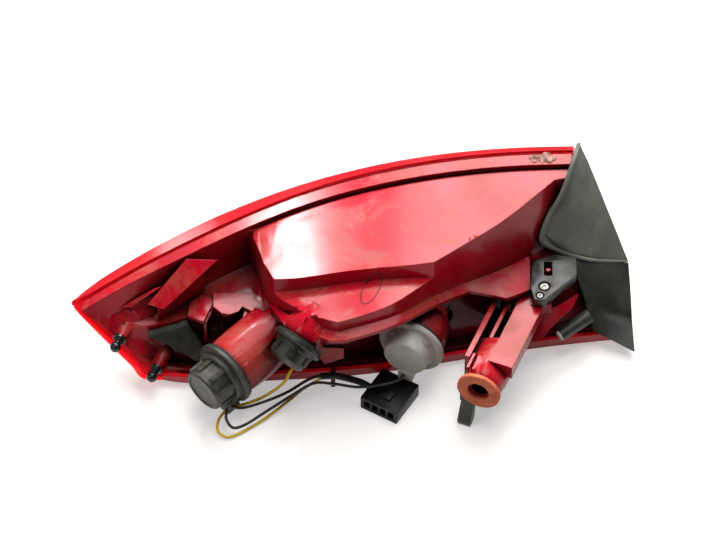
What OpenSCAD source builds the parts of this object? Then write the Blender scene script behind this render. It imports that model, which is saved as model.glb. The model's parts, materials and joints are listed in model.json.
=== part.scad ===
// Tail light cluster, lying on its side lens with the mounting side towards minus Y.
// Origin: mouth of the stud bore in the mounting boss. Plus Z is up from the table.

/* [Lamp body] */
// Length of the long rim, from the narrow tip to the trim end
lamp_length = 339; // [320:1:360]
// Height of the long rim above the side lens, at the trim end
lamp_height = 105; // [98:1:112]
// Wall of the housing moulding
shell_t = 2.6; // [2:0.1:3.2]
// Wall of the lens moulding
lens_t = 3; // [2.4:0.1:3.6]
// Width of the lens lip on the long rim
lip_w = 7; // [6:0.5:8]
// Width of the open joint between the lens lip and the housing band
joint_w = 2; // [1.6:0.1:2.4]
// Width of the housing band beside the joint
band_w = 9; // [8:0.5:10]
// Drop from the plateau of the chamber to its shelf
riser_h = 10; // [8:0.5:12]
// Reach of the flange lip below the shelf
flange_w = 8; // [6:0.5:9]

/* [Bulb holders] */
// Radius of the large holder flange
flange_r = 22.5; // [21:0.25:24]
// Radius of the large holder cap
cap_r = 15; // [13.5:0.25:16]
// Height of the left holder above its flange
cap_h = 19; // [17:0.5:21]
// Radius of the middle holder flange
mid_flange_r = 17.5; // [16.5:0.25:18.5]
// Radius of the middle holder cap
mid_cap_r = 12.5; // [11.5:0.25:13.5]
// Height of the grey holder above its flange
grey_cap_h = 11; // [9:0.5:13]
// Thickness of the holder flanges
flange_t = 3; // [2.5:0.25:3.5]
// Thickness of the rubber gaskets
gasket_t = 2; // [1.5:0.25:2.5]
// Radius of the bulb glass
bulb_r = 12; // [11:0.25:12.5]
// Radius of the small bulb in the middle holder
small_bulb_r = 5; // [4.5:0.25:6]

/* [Mounting] */
// Radius of the stud bore in the boss
bore_r = 7.5; // [6.5:0.1:8]
// Outer radius of the boss and of its washer
boss_r = 15; // [14:0.25:16]
// Thickness of the boss washer
washer_t = 3; // [2:0.25:4]
// Depth of the stud bore, washer included
bore_depth = 26; // [20:1:28]
// Radius of the balls on the ball pins
ball_r = 3.7; // [3.4:0.1:4]
// Radius of the necks of the ball pins
neck_r = 2.2; // [1.8:0.1:2.6]

/* [Wiring] */
// Diameter of the wires
wire_d = 2; // [1.6:0.1:2.4]
// Length of the connector block
plug_len = 29; // [25:1:32]
// Width of the connector block
plug_w = 28; // [24:1:32]
// Height of the connector block
plug_h = 11; // [9:0.5:11.5]

/* [Hidden] */

red = [0.78, 0.14, 0.2];
lens_red = [0.9, 0.05, 0.1];
charcoal = [0.22, 0.21, 0.18];
black = [0.08, 0.08, 0.08];

// The body is drawn along its own length axis, turned from the mounting frame by this angle
yaw = 22;
// Rim stations of the body as drawn, narrow tip and trim end
tip_s = -194;
end_s = 145;
kl = lamp_length / (end_s - tip_s);
kz = lamp_height / 105;
// Mouth of the stud bore, measured from the drawing point on the table
mouth = [95.5, -31, 35];
$fn = 48;
eps = 0.01;

// Turns a point of the mounting frame into the body's own frame, stretches it with the body and turns it back
function to_body(p) = [p.x * cos(yaw) + p.y * sin(yaw), -p.x * sin(yaw) + p.y * cos(yaw), p.z];
function from_body(p) = [p.x * cos(yaw) - p.y * sin(yaw), p.x * sin(yaw) + p.y * cos(yaw), p.z];
function stretch(p) = [p.x * kl, p.y, p.z * kz];
function site(p) = from_body(stretch(to_body(p)));
origin_shift = -site(mouth);

// Smooth curve through a short table of [station, value]
function seg(s, t, i = 0) = i >= len(t) - 2 || s < t[i + 1][0] ? i : seg(s, t, i + 1);
function slope(t, i) = let(a = max(i - 1, 0), b = min(i + 1, len(t) - 1))
    (t[b][1] - t[a][1]) / (t[b][0] - t[a][0]);
function curve(s, t) = s <= t[0][0] ? t[0][1] : s >= t[len(t) - 1][0] ? t[len(t) - 1][1] :
    let(i = seg(s, t), h = t[i + 1][0] - t[i][0], u = (s - t[i][0]) / h)
    (2 * u * u * u - 3 * u * u + 1) * t[i][1] + (u * u * u - 2 * u * u + u) * slope(t, i) * h
    + (3 * u * u - 2 * u * u * u) * t[i + 1][1] + (u * u * u - u * u) * slope(t, i + 1) * h;
function ramp(s, a, b) = let(u = min(max((s - a) / (b - a), 0), 1)) u * u * (3 - 2 * u);
function mix(a, b, u) = a + (b - a) * u;

// Long rim, as seen along the top of the lamp, and the hidden rim near the table
function rim_w(s) = 90 - 95 * pow((end_s - s) / 339, 2.45);
function rim_z(s) = 105 - 47 * pow((end_s - s) / 339, 2);
function low_w(s) = curve(s, [[-194, -29], [-120, -31], [-45, -27], [0, -23], [50, -14], [100, 0], [145, 9]]);
low_z = 8;
// Section planes lean at both ends, so that the ends of the lamp are cut on a slant
function lean(s) = s < -75 ? 1.04 * (-75 - s) / 119 : s > 60 ? 0.37 * (s - 60) / 85 : 0;
function place_pt(s, w, z, shift = 0) = stretch([s + lean(s) * (rim_z(s) - z) + shift, w, z]);

// A sheet with a wall: two grids of points, joined round their four edges
module sheet(outer, inner) {
    n = len(outer);
    m = len(outer[0]);
    function id(i, j) = i * m + j;
    points = concat([for (row = outer) each row], [for (row = inner) each row]);
    o = n * m;
    faces = [
        for (i = [0 : n - 2], j = [0 : m - 2]) each [
            [id(i, j), id(i, j + 1), id(i + 1, j + 1)], [id(i, j), id(i + 1, j + 1), id(i + 1, j)],
            [o + id(i, j), o + id(i + 1, j + 1), o + id(i, j + 1)],
            [o + id(i, j), o + id(i + 1, j), o + id(i + 1, j + 1)]],
        for (i = [0 : n - 2]) each [
            [id(i, 0), id(i + 1, 0), o + id(i + 1, 0)], [id(i, 0), o + id(i + 1, 0), o + id(i, 0)],
            [id(i, m - 1), o + id(i + 1, m - 1), id(i + 1, m - 1)],
            [id(i, m - 1), o + id(i, m - 1), o + id(i + 1, m - 1)]],
        for (j = [0 : m - 2]) each [
            [id(0, j), o + id(0, j + 1), id(0, j + 1)], [id(0, j), o + id(0, j), o + id(0, j + 1)],
            [id(n - 1, j), id(n - 1, j + 1), o + id(n - 1, j + 1)],
            [id(n - 1, j), o + id(n - 1, j + 1), o + id(n - 1, j)]]];
    polyhedron(points, faces, convexity = 8);
}

// Moves an open line of points sideways by t, with mitred corners
function unit(v) = v / norm(v);
function left_of(v) = [-v.y, v.x];
function offset_line(p, t) = [for (i = [0 : len(p) - 1])
    let(a = unit(p[min(i + 1, len(p) - 1)] - p[min(i, len(p) - 2)]),
        b = unit(p[max(i, 1)] - p[max(i - 1, 0)]),
        n = left_of(a) + left_of(b))
    p[i] + n * t / max(1 + a * b, 0.5)];

// Inner grid of a lofted wall: mitred within each section, and moved along the body where the wall crosses it
function inner_row(f, st, i, t) = let(s = st[i], a = st[max(i - 1, 0)], b = st[min(i + 1, len(st) - 1)],
    p = f[i], q = offset_line(p, t), up = f[min(i + 1, len(st) - 1)], dn = f[max(i - 1, 0)])
    [for (j = [0 : len(p) - 1]) let(v = (up[j] - dn[j]) * unit(q[j] - p[j]) / (b - a))
        place_pt(s, q[j].x, q[j].y, -t * v / sqrt(1 + v * v))];
module loft_wall(st, f, t) sheet([for (i = [0 : len(st) - 1]) inner_row(f, st, i, t)],
    [for (i = [0 : len(st) - 1]) [for (p = f[i]) place_pt(st[i], p.x, p.y)]]);
// Moves each point of a smooth grid along its own normal
function grid_normal(g, i, j) = unit(cross(g[min(i + 1, len(g) - 1)][j] - g[max(i - 1, 0)][j],
    g[i][min(j + 1, len(g[0]) - 1)] - g[i][max(j - 1, 0)]));
function thicker(g, t) = [for (i = [0 : len(g) - 1])
    [for (j = [0 : len(g[0]) - 1]) g[i][j] + t * grid_normal(g, i, j)]];

module in_body() translate(origin_shift) rotate(yaw) children();
module in_mount() translate(origin_shift) children();
// Turns plus Z onto a direction
module aim(d) rotate([0, acos(d.z / norm(d)), atan2(d.y, d.x)]) children();

// Sections of the housing, from the band by the long rim to the low rim
function band_at(s) = band_w * mix(0.72, 1, ramp(s, -190, -110));
function lip_at(s) = lip_w * curve(s,
    [[-194, 1.1], [-117, 1.6], [-70, 1.4], [-22, 1.05], [100, 0.75], [145, 0.72]]);
// A trench lies beside the band along the chamber; in the tray the band drops straight into the wall
function band_points(s) = let(w = rim_w(s) - lip_at(s) - joint_w, z = rim_z(s), b = band_at(s),
    k = ramp(s, -73, -64)) concat([[w, z - 9], [w, z - 0.8], [w - b, z - 0.8]], s < -72 ? [[w - b - 0.3, z - 6], [w - b - 0.6, z - 9], [w - b - 1, z - 12]] : [
    [w - b, z - 6], [w - b - mix(1, joint_w, k), z - mix(7, 6, k)], [w - b - joint_w, z - mix(6, 4, k)]]);
function trench_w(s) = rim_w(s) - lip_at(s) - 2 * joint_w - band_at(s);
// The low edge rises towards the tip, where the lens closes round it
function low_rise(s) = 8 * (1 - ramp(s, -185, -160));
function low_points(s) = [[low_w(s) + 4, low_z + 4 + low_rise(s)], [low_w(s) + 3, low_z - 1 + 1.5 * low_rise(s)]];
function wall_w(s) = curve(s, [[-186, -15], [-165, -14], [-145, -12], [-125, -8], [-100, -4], [-73, -3]]);
function floor_z(s) = curve(s, [[-186, 44], [-150, 42], [-110, 48], [-73, 50]]);
function tray_points(s) = let(w = wall_w(s), z = floor_z(s), r = max(rim_w(s) - 25, w + 4)) [
    [r + 3, z + 7], [r + 2, z + 3.2], [r + 1, z + 1.2], [r, z],
    [w + 1, z - 1], [w - 0.5, mix(z, 10, 0.5)], [low_w(s) + 13, 9]];
function line_points(s) = let(a = band_points(s)[5], b = low_points(s)[0])
    [for (j = [1 : 7]) mix(a, b, j / 8) + [0.8, -0.8] * sin(j * 22.5)];
function plateau_w(s) = min(trench_w(s) - 6.5, drawn_plateau_w(s));
function drawn_plateau_w(s) = curve(s, [[-71, 34], [-68, 20], [-64, 6], [-57, -9], [0, -7], [48, -5], [66, 8],
    [87, 22.6], [103, 37], [118, 54], [138, 73], [145, 78]]);
function shelf_w(s) = min(trench_w(s) - 7.5, drawn_shelf_w(s));
function drawn_shelf_w(s) = curve(s,
    [[-71, 32], [-64, 3], [-57, -12], [-44, -26], [-27, -37], [-15, -42], [0, -38],
    [23, -29.5], [47, -8], [60, 1], [66, 6], [87, 20.5], [103, 35], [118, 52], [145, 76]]);
function plateau_z(s) = rim_z(s) - 4;
function flange_z(s) = curve(s,
    [[-71, 50], [-57, 58], [-40, 66], [-26, 69], [0, 72], [26, 71], [67, 62], [116, 54], [145, 52]]);
function under_w(s) = curve(s,
    [[-71, -5], [-57, -6], [-45, -10], [-15, -20], [0, -18], [25, -12], [47, -1], [66, 4], [100, 26], [138, 52], [145, 56]]);
function under_z(s) = curve(s, [[-71, 48], [-57, 52], [-45, 58], [0, 64], [47, 58], [66, 54], [100, 47], [145, 44]]);
function chamber_points(s) = let(p = plateau_w(s), z = plateau_z(s), f = shelf_w(s),
    k = ramp(s, -66, -56) - ramp(s, 40, 62)) [
    [p, z], [mix(p - 0.8, p - 2, k), z - riser_h],
    [f, mix(z - riser_h - 8, z - riser_h - 1, k)], [f - 1, flange_z(s)],
    [under_w(s), under_z(s)],
    [curve(s, [[-71, -9], [40, -4], [80, 8], [120, 26], [145, 36]]), 32], [low_w(s) + 11, 11]];
function shell_points(s) = let(q = ramp(s, -187, -166)) concat(band_points(s),
    s < -72 ? [for (j = [0 : 6]) mix(line_points(s)[j], tray_points(s)[j], q)] : chamber_points(s),
    low_points(s));
shell_stations = [-185, -182, -179, -175, -170, -163, -155, -145, -135, -125, -115, -105, -95, -85, -79, -74,
    -71, -68, -64, -60, -57, -52, -44, -36, -27, -15, 0, 12, 24, 36, 48, 57, 66, 76, 87, 95,
    103, 110, 118, 127, 134, 139];
module shell_body() loft_wall(shell_stations, [for (s = shell_stations) shell_points(s)], shell_t);

// The turrets: seat left free at the flange edge, wall, and length behind the flange
seat_w = 1.5;
turret_t = 4.5;
left_len = 46;
mid_len = 30;
mid_end_r = 12.5;
grey_len = 24;
// Bulb places: flange centre, direction out of the lamp
left_at = [-67, -77, 31];
left_dir = [-0.40, -0.91, -0.1];
mid_at = [-24, -55, 55];
mid_dir = [-0.26, -0.86, -0.43];
grey_at = [40, -12, 35];
grey_dir = [0, -1, 0];

module at_left() translate(site(left_at)) aim(left_dir) children();
module at_mid() translate(site(mid_at)) aim(mid_dir) children();
module at_grey() translate(site(grey_at)) aim(grey_dir) children();

// Round bar with flat sides, and its tapered form
bar_sides = 40;
module bar(r, from, to, taper = 1) translate([0, 0, from]) linear_extrude(to - from, scale = taper)
    polygon([for (k = [0 : bar_sides - 1]) let(a = 360 * (k + 0.3) / bar_sides) r * [cos(a), sin(a)]]);

// A turret is a tube behind the holder flange, with a seat for the gasket
module turret(r, len, hole) difference() {
    bar(r, -len, -flange_t - gasket_t);
    bar(hole, -len - 1, 1);
}

// The middle turret narrows behind its seat and is closed, with a window on its lower side towards the lens.
// A flat hood runs from it to the foot of the chamber.
hood_points = [[-60, -7, 56], [-46, -20, 63], [-31, -31, 64], [-58, -7, 44], [-32, -26, 50]];
mid_waist = 13;
module mid_room() {
    bar(mid_flange_r + 0.6, -flange_t - gasket_t, 16);
    bar(way_r(mid_flange_r), -mid_barrel - 1, 1);
}
module mid_turret() let(r = mid_flange_r - seat_w, behind = turret_t / 2) difference() {
    union() {
        at_mid() bar(r, -mid_waist, -flange_t - gasket_t);
        at_mid() mirror([0, 0, 1]) bar(r, mid_waist - eps, mid_len, mid_end_r / r);
        hull() {
            at_mid() bar(r - 0.6, -mid_waist, -flange_t - gasket_t - 1.5);
            for (p = hood_points) translate(from_body(stretch(p))) cube(1.6, center = true);
        }
    }
    at_mid() bar(way_r(mid_flange_r), -mid_barrel - 1, 1);
    at_mid() bar(small_bulb_r + 3, -mid_len + behind, 1);
    at_mid() translate([0, -small_bulb_r - 2, -mid_len + behind])
        cube([40, 2 * small_bulb_r + 4, mid_len - mid_barrel - 4]);
}

// Where the barrels of the holders pass through the wall of the housing
module bulb_ways() {
    at_left() bar(way_r(flange_r), -left_len - 22, -left_len + 18);
    at_mid() bar(small_bulb_r + 3, -mid_len + turret_t / 2, -mid_barrel);
    at_mid() bar(mid_flange_r + 0.6, -flange_t - gasket_t, 16);
    at_grey() bar(way_r(flange_r), -grey_len - 12, -grey_len + 12);
    for (p = [pin_upper, pin_lower]) translate(site(p)) aim(grey_dir) bar(neck_r + 0.1, -pin_seat - 10, 0);
}

// Body of the boss and the arm that carries it, in the mounting frame
arm_x = [80, 113];
arm_top = 50;
module arm_block(x, y, z) translate([x[0], y[0], z[0]]) cube([x[1] - x[0], y[1] - y[0], z[1] - z[0]]);
boss_face = mouth.y + washer_t;
module arm() translate(site(mouth) - mouth) {
    difference() {
        union() {
            translate([mouth.x, boss_face, mouth.z]) rotate([-90, 0, 0]) cylinder(r = boss_r, h = 34);
            arm_block([96, arm_x[1]], [-15, 46], [39, arm_top]);
            arm_block([96, 108], [4, 44], [28, 40]);
            arm_block([arm_x[0], 83.5], [-16, 40], [24, arm_top - 1]);
            arm_block([arm_x[0], 101], [-14, 44], [24, 31]);
            arm_block([88.5, 91], [2, 40], [28, arm_top - 3]);
            for (x = [84.6, 88.4, 92.2, 96])
                arm_block([x, x + 1.8], [-25, -12], [mouth.z + 6, arm_top - 0.5 - (x - 84) * 0.1]);
        }
        translate([mouth.x, mouth.y - 1, mouth.z]) rotate([-90, 0, 0]) cylinder(r = bore_r, h = bore_depth + 1);
    }
}

// Flange lip below the shelf and the triangular plate at its end
lip_stations = [-28, -20, -10, 0, 10, 20, 30, 40, 50, 60, 70, 80, 90, 97, 103];
function lip_reach(s) = flange_w + 20 * ramp(s, 70, 96);
function lip_row(s, d, e) = let(w = shelf_w(s), z = flange_z(s)) [place_pt(s, w + 3, z + d), place_pt(s, w - lip_reach(s), z + e)];
module flange_lip() sheet([for (s = lip_stations) lip_row(s, -2, -4)], [for (s = lip_stations) lip_row(s, 1.5, -1)]);

// An upright rib between two points, down to its foot
rib_t = 2.2;
module rib(from, to, foot) {
    a = stretch(from);
    b = stretch(to);
    run = norm([b.x - a.x, b.y - a.y]);
    translate([a.x, a.y, foot * kz]) rotate(atan2(b.y - a.y, b.x - a.x)) rotate([90, 0, 0]) translate([0, 0, -rib_t / 2])
        linear_extrude(rib_t) polygon([[0, 0], [run, 0], [run, b.z - foot * kz], [0, a.z - foot * kz]]);
}
module panel(rows, t) let(g = [for (r = rows) [for (p = r) stretch(p)]]) sheet(g, thicker(g, t));
// Level plate on the floor of the tray
module ledge(outline, top, t) translate([0, 0, top * kz - t]) linear_extrude(t) polygon([for (p = outline) [p.x * kl, p.y]]);

// Ribs, blades and plates in the tray
tray_lip = [[-97.6, -3.8], [-92, -9.5], [-87, -10.6], [-81, -8], [-78.5, -3.8], [-72, -8], [-66, -11.5], [-61, -13], [-60, 0], [-70, 8], [-98, 8]];
tray_tab = [[-104, -15.2], [-114.7, -10], [-113.3, 0.5], [-105.3, 8.3], [-97, 3]];
module tray_fittings() {
    // Wall across the tray beside the chamber
    rib([-89, 36, 79], [-69, 37, 81], 47);
    // Large and small blade, each a slanted plate over an upright rib
    panel([[[-115.3, 14, 77.7], [-94.7, 14, 76.7]], [[-140.7, -10, 59.7], [-130, -12, 56.8]]], -rib_t);
    rib([-134, -8.5, 58], [-104, 12, 74], 42);
    panel([[[-136.4, 1, 63], [-131.6, 1, 65]], [[-158.7, -7.5, 53.5], [-151.8, -7.5, 53.5]]], -rib_t);
    rib([-153, -6.5, 53], [-136, 0, 60], 41);
    // Plates that stand over the wall
    ledge(tray_lip, 50, 3);
    ledge(tray_tab, 48.4, 3);
    // Upright ribs under the plates
    rib([-103, -13.5, 46], [-99, -2, 46], 24);
    rib([-77, -12, 48], [-75, -1, 48], 26);
}

// Plate beside the middle turret, a hooked tab on the low rim, and the channel between the arm and the bracket
side_plate = [[-38, 47.5], [-31, 47.6], [-24, 33], [-11, 39.4], [-11.5, 49.5], [-24, 50.5]];
side_plate_w = -37;
hook_s = -20;
channel = [[[111, -1, 42.4], [122, -1, 42.4], [131.5, 2, 43.5], [144, 9, 47]],
    [[108.4, -12.8, 22], [120, -10.3, 24], [128, -4.2, 33], [140, 3, 40]]];
module outside_fittings() {
    translate([0, side_plate_w, 0]) rotate([90, 0, 0]) linear_extrude(rib_t) polygon([for (p = side_plate) [p.x * kl, p.y * kz]]);
    translate([hook_s * kl, low_w(hook_s) - 9, low_z + 3.2]) cube([3, 16, 2.4]);
    translate([hook_s * kl, low_w(hook_s) - 9, 3]) cube([3, 2, low_z + 1]);
    panel(channel, -rib_t);
}

module housing() color(red) {
    in_body() {
        difference() {
            union() {
                shell_body();
                tray_fittings();
            }
            rotate(-yaw) bulb_ways();
            screw_ways();
        }
        flange_lip();
        bracket_seat();
        outside_fittings();
    }
    in_mount() {
        difference() {
            arm();
            rotate(yaw) screw_ways();
        }
        difference() {
            at_left() turret(flange_r - seat_w, left_len, flange_r - seat_w - turret_t);
            at_mid() mid_room();
        }
        mid_turret();
        at_grey() turret(flange_r - seat_w, grey_len, flange_r - seat_w - turret_t);
        for (p = [pin_upper, pin_lower]) pin_boss(p);
    }
}

// Lens: a sheet from its lip on the long rim, over the rear, round the belly to the low rim
lens_steps = 13;
nose_len = 26;
function nose(s) = let(u = min((s - tip_s) / nose_len, 1)) sqrt(1 - (1 - u) * (1 - u));
function belly(s) = curve(s, [[-194, 1.2], [-160, 0.8], [-130, 0.66], [-80, 0.58], [0, 0.55], [145, 0.6]]);
function lens_points(s) = let(w = rim_w(s), z = rim_z(s), a = w - low_w(s), b = z, e = belly(s), f = nose(s))
    let(full = concat([[w - lip_at(s), z + 0.4], [w - 1.2, z]],
        [for (k = [0 : lens_steps]) let(q = 3 + 84 * k / lens_steps)
            [low_w(s) + a * pow(cos(q), e) + 9 * sin(q * 1.6) * (1 - ramp(q, 55, 90)), z - b * pow(sin(q), e)]],
        [[low_w(s) - 1.5, low_z - 4], [low_w(s) - 1, low_z + 2]]), last = len(full) - 1)
    [for (k = [0 : last]) mix(mix([w, z + 0.4], [low_w(s) - 1, low_z + 2], k / last), full[k], f)];
lens_stations = [-194, -193, -191, -187, -181, -174, -166, -157, -147, -135, -122, -108, -94, -80, -65, -50, -35, -20,
    -5, 10, 25, 40, 55, 70, 85, 100, 115, 130, 141];
lens_grid = [for (s = lens_stations) [for (p = lens_points(s)) place_pt(s, p.x, p.y)]];
// Its lip and its low edge are level with the section, away from the tip
function edge_step(j, m, t) = j == 0 ? [0, 0, -t] : j == 1 ? [0, -t, -t] : j == m ? [0, t, 0] : [0, t, t / 2];
lens_inside = let(g = thicker(lens_grid, -lens_t), m = len(g[0]) - 1)
    [for (i = [0 : len(g) - 1]) [for (j = [0 : m]) j > 1 && j < m - 1 ? g[i][j]
        : mix(g[i][j], lens_grid[i][j] + edge_step(j, m, lens_t), ramp(lens_stations[i], -186, -160))]];
module outer_lens() color(lens_red) in_body() sheet(lens_grid, lens_inside);

// Ball pins stand in bosses on the end wall of the tray
pin_upper = [-140, -86.5, 37];
pin_lower = [-114.5, -86, 17];
pin_seat = 8;
module pin_boss(p) translate(site(p)) aim(grey_dir) difference() {
    translate([0, 0, -pin_seat - 16]) cylinder(r1 = 7, r2 = 4.8, h = 16);
    translate([0, 0, -pin_seat - 10]) cylinder(r = neck_r, h = 11);
}
module ball_pin(p) color(black) in_mount() translate(site(p)) aim(grey_dir) {
    sphere(r = ball_r);
    translate([0, 0, -pin_seat - 9]) cylinder(r = neck_r, h = pin_seat + 9);
    translate([0, 0, -pin_seat]) cylinder(r = neck_r + 2.4, h = 1.6);
    translate([0, 0, -pin_seat + 1.5]) cylinder(r1 = neck_r + 1.6, r2 = neck_r + 0.4, h = 2.5);
}

// Holders: flange and cap outside, a barrel that reaches through the turret
module holder_barrel(r, from, to) translate([0, 0, -to]) cylinder(r = r, h = to - from);
module cap_ribs(n, r, h, w) for (i = [0 : n - 1]) rotate(360 / n * (i + 0.5)) translate([r - 2, -w / 2, 0]) cube([3.4, w, h]);
barrel_gap = 1;
left_barrel = 34;
mid_barrel = 13;
grey_barrel = 16;
function way_r(r) = r - seat_w - turret_t;

module holder_left() color(charcoal) in_mount() at_left() {
    rotate_extrude($fn = 64) polygon([[0, -left_barrel], [way_r(flange_r) - barrel_gap, -left_barrel], [way_r(flange_r) - barrel_gap, -flange_t],
        [flange_r, -flange_t], [flange_r, -0.8], [flange_r - 0.8, 0], [cap_r + 3.5, 0], [cap_r + 3.5, 3], [cap_r + 2.5, 4], [cap_r, 4],
        [cap_r, cap_h - 1], [cap_r - 1, cap_h], [cap_r - 2.5, cap_h], [cap_r - 3, cap_h - 0.8], [0, cap_h - 0.8]]);
    translate([0, 0, 3]) cap_ribs(8, cap_r, cap_h - 7, 4);
    // Wire outlet below the cap
    translate([cap_r - 3, 3, -0.5]) cube([11, 10, 10.5]);
    translate([cap_r + 8 - eps, 7, 5]) rotate([0, 90, 0]) cylinder(r = 3, h = 5);
}
module holder_mid() color(black) in_mount() at_mid() {
    rotate_extrude($fn = 64) polygon([[0, -mid_barrel], [way_r(mid_flange_r) - barrel_gap, -mid_barrel],
        [way_r(mid_flange_r) - barrel_gap, -flange_t], [mid_flange_r, -flange_t], [mid_flange_r, -0.6], [mid_flange_r - 0.6, 0],
        [mid_cap_r + 1.5, 0], [mid_cap_r + 1.5, 2.5], [mid_cap_r, 3.5], [mid_cap_r, 11], [mid_cap_r - 1.5, 12.5], [0, 12.5]]);
    cap_ribs(6, mid_cap_r, 9, 3);
    translate([mid_cap_r - 2, -3, 1]) cube([8, 6, 9]);
}
module holder_right() color([0.69, 0.67, 0.63]) in_mount() at_grey() {
    rotate_extrude($fn = 64) polygon([[0, -grey_barrel], [way_r(flange_r) - barrel_gap, -grey_barrel],
        [way_r(flange_r) - barrel_gap, -flange_t], [flange_r, -flange_t], [flange_r, -1], [flange_r - 1, 0], [cap_r + 3, 0],
        [cap_r + 1, 3], [cap_r, grey_cap_h - 1.2], [cap_r - 1.2, grey_cap_h], [0, grey_cap_h]]);
    translate([cap_r - 4, -4, 2]) cube([9, 10, grey_cap_h - 1]);
    cap_ribs(4, cap_r + 1, 3, 5);
}
module gasket(r) color([0.15, 0.15, 0.14]) translate([0, 0, -flange_t - gasket_t]) difference() {
    cylinder(r = r - 0.6, h = gasket_t);
    translate([0, 0, -1]) cylinder(r = way_r(r) - 0.4, h = gasket_t + 2);
}

// Bulbs: brass base in the barrel and a glass envelope, closed and solid
module bulb(barrel, r) color([0.9, 0.85, 0.7]) translate([0, 0, -barrel]) rotate([180, 0, 0]) rotate_extrude($fn = 48)
    polygon(concat([[0, 0], [r * 0.62, 0], [r * 0.62, r * 0.75]], [for (a = [-40 : 10 : 90]) [r * cos(a), r * (1.5 + sin(a))]]));

// Washer on the boss and the clip tab below it
module boss_washer() color([0.8, 0.37, 0.3]) in_mount() translate(site(mouth)) rotate([-90, 0, 0]) difference() {
    cylinder(r = boss_r, h = washer_t);
    translate([0, 0, -1]) cylinder(r = bore_r, h = washer_t + 2);
}
clip_x = -9;
module boss_clip() color(black) in_mount() translate(site(mouth)) difference() {
    union() {
        translate([clip_x - 5, washer_t, -boss_r - 3]) cube([12, 9, 8]);
        translate([clip_x - 4, 0, 0]) rotate([90, 0, 90])
            linear_extrude(9) polygon([[4, -boss_r], [9, -boss_r], [4.5, -mouth.z * kz + 1.5], [1, -mouth.z * kz], [-3, -mouth.z * kz], [-4, -mouth.z * kz + 4]]);
    }
    translate([0, -1, 0]) rotate([-90, 0, 0]) cylinder(r = boss_r + 0.15, h = 40, $fn = 64);
}

// Foam pad on the tray wall
pad_t = 5;
pad_stations = [-163, -156, -148, -139, -130];
function pad_low(s) = curve(s, [[-163, 34], [-156, 27], [-147, 16], [-139, 12], [-130, 13]]);
function wall_at(s, z) = let(m = mix(floor_z(s), 10, 0.5), w = wall_w(s))
    z > m ? mix(w - 0.5, w + 1, (z - m) / (floor_z(s) - 1 - m)) : mix(low_w(s) + 13, w - 0.5, (z - 9) / (m - 9));
function pad_top(s) = mix(38, floor_z(s) - 1.5, ramp(s, -163, -145));
function pad_row(s, d) = [for (u = [0, 0.35, 0.7, 1]) let(z = mix(pad_low(s), pad_top(s), u)) place_pt(s, wall_at(s, z) - d, z)];
module foam_pad() color([0.2, 0.21, 0.18]) in_body()
    sheet([for (s = pad_stations) pad_row(s, pad_t + 0.5)], [for (s = pad_stations) pad_row(s, 0.5)]);

// Seal in the joint between the lens lip and the band
seal_stations = [for (s = [-182 : 12 : 138]) s];
function seal_row(s, d) = let(w = rim_w(s) - lip_at(s), z = rim_z(s) - d) [place_pt(s, w - joint_w + 0.2, z), place_pt(s, w - 0.2, z)];
module rim_seal() color([0.2, 0.12, 0.1]) in_body()
    sheet([for (s = seal_stations) seal_row(s, 2.4)], [for (s = seal_stations) seal_row(s, lens_t + 2.6)]);

// Reflector: a plate across the lamp with a bowl round each large bulb
mirror_t = 1.8;
mirror_stations = [-58, -40, -20, 0, 20, 40, 60, 75, 90];
module bowl(r0, r1, from, depth) translate([0, 0, -from]) rotate([180, 0, 0]) rotate_extrude($fn = 48) polygon(concat(
    [for (i = [0 : 8]) [mix(r0, r1, sqrt(i / 8)), depth * i / 8]], [for (i = [8 : -1 : 0]) [mix(r0, r1, sqrt(i / 8)) + mirror_t, depth * i / 8 - mirror_t * (i > 0 ? 0.6 : 0)]]));
module bowl_room(r0, r1, from, depth) translate([0, 0, -from - depth - 20]) cylinder(r1 = r1 + 3, r2 = r1, h = depth + 20);
function mirror_points(s) = [[low_w(s) + 26, 12], [28 + 0.1 * s, 30], [34 + 0.12 * s, 52], [rim_w(s) - 30, rim_z(s) - 18]];
module reflector() color([0.8, 0.8, 0.82]) {
    in_body() difference() {
        sheet([for (s = mirror_stations) [for (p = mirror_points(s)) place_pt(s, p.x, p.y)]],
            [for (s = mirror_stations) [for (p = mirror_points(s)) place_pt(s, p.x + mirror_t, p.y)]]);
        rotate(-yaw) at_grey() bowl_room(13, 21, 41, 18);
        rotate(-yaw) at_left() bowl_room(12, 16, 74, 14);
    }
    in_mount() {
        at_grey() bowl(13, 22, 41, 18);
        at_left() bowl(12, 17, 74, 14);
    }
}

// Wires: round tubes along smooth curves through hand placed points
function spline(p, n) = [for (i = [0 : len(p) - 2], k = [0 : n - 1]) let(a = p[max(i - 1, 0)], b = p[i], c = p[i + 1], d = p[min(i + 2, len(p) - 1)], u = k / n)
    0.5 * (2 * b + (c - a) * u + (2 * a - 5 * b + 4 * c - d) * u * u + (3 * b - a - 3 * c + d) * u * u * u)];
function path(p, n) = concat(spline(p, n), [p[len(p) - 1]]);
wire_sides = 8;
module tube(p, r) {
    n = len(p);
    dirs = [for (i = [0 : n - 1]) unit(p[min(i + 1, n - 1)] - p[max(i - 1, 0)])];
    rings = [for (i = [0 : n - 1]) let(d = dirs[i], x = unit(cross(d, [0.13, 0.21, 1])), y = cross(d, x))
        for (k = [0 : wire_sides - 1]) p[i] + r * (x * cos(360 * k / wire_sides) + y * sin(360 * k / wire_sides))];
    polyhedron(rings, concat([[for (k = [0 : wire_sides - 1]) k]], [[for (k = [wire_sides - 1 : -1 : 0]) (n - 1) * wire_sides + k]],
        [for (i = [0 : n - 2], k = [0 : wire_sides - 1]) let(a = i * wire_sides, m = (k + 1) % wire_sides)
            each [[a + k, a + wire_sides + k, a + wire_sides + m], [a + k, a + wire_sides + m, a + m]]]));
}

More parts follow.
